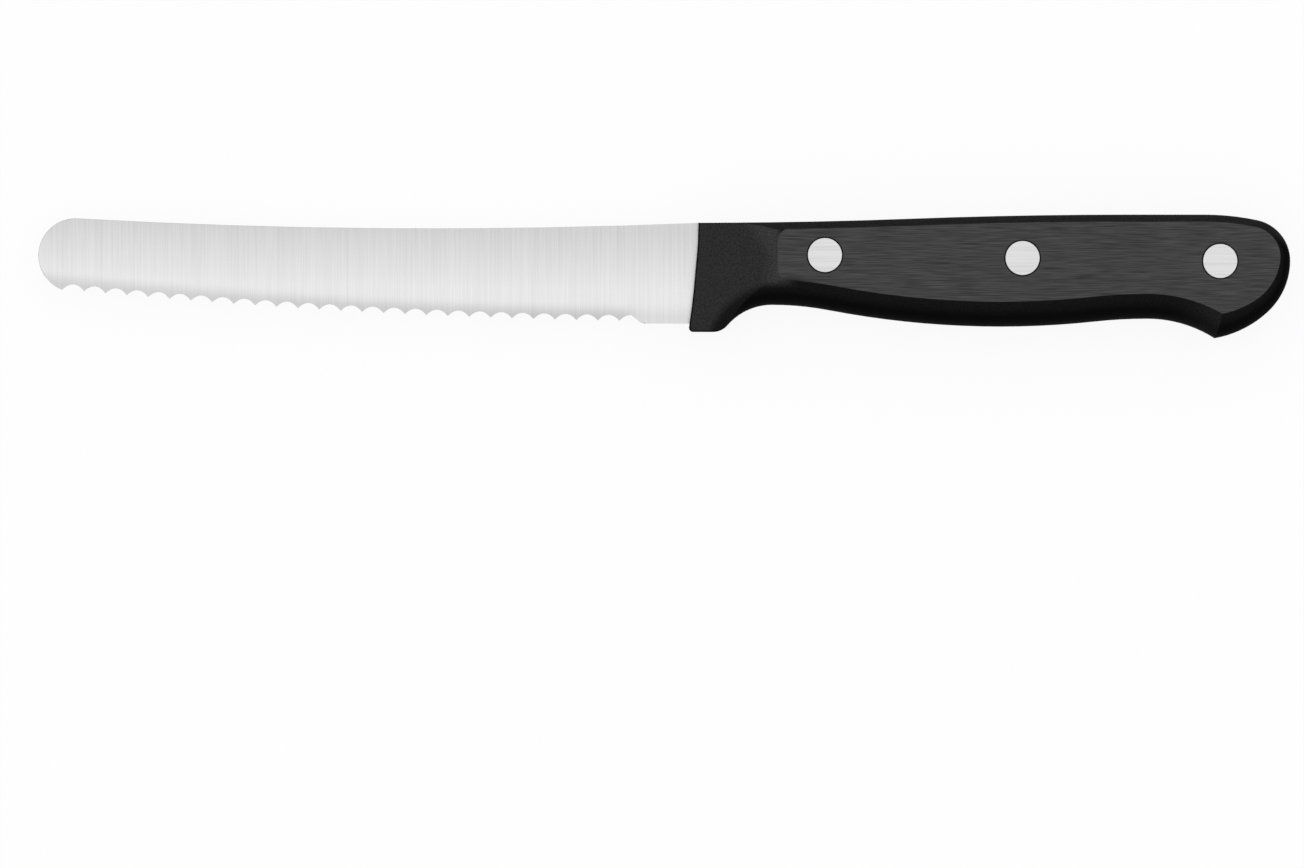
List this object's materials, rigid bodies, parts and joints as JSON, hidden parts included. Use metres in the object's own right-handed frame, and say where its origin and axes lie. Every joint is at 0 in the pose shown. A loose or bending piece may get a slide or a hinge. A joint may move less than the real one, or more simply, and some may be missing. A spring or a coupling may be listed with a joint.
{
  "type": "tomato knife",
  "caption": "Small serrated kitchen knife with a round-tipped blade and a black riveted handle with a finger groove and a hooked butt, for slicing tomatoes.",
  "frame": {"origin": "middle of the knife's bounding box in length and height, on the plane that the right scale's flat lies on", "axes": "+X from the tip to the butt, +Y from the edge to the spine, +Z out of the left side, which faces up as the knife lies on its right side"},
  "size_m": [0.2281, 0.0226, 0.0128],
  "materials": {
    "blade_steel": "satin, ground across the blade",
    "scale_plastic": "moulded black, sides sanded along the handle",
    "rivet_steel": "sanded flush with the scales"
  },
  "bodies": {
    "root": {"blade": "blade_steel", "left_scale": "scale_plastic", "right_scale": "scale_plastic", "front_rivet_post": "rivet_steel", "front_rivet_socket": "rivet_steel", "middle_rivet_post": "rivet_steel", "middle_rivet_socket": "rivet_steel", "rear_rivet_post": "rivet_steel", "rear_rivet_socket": "rivet_steel"}
  },
  "joints": []
}
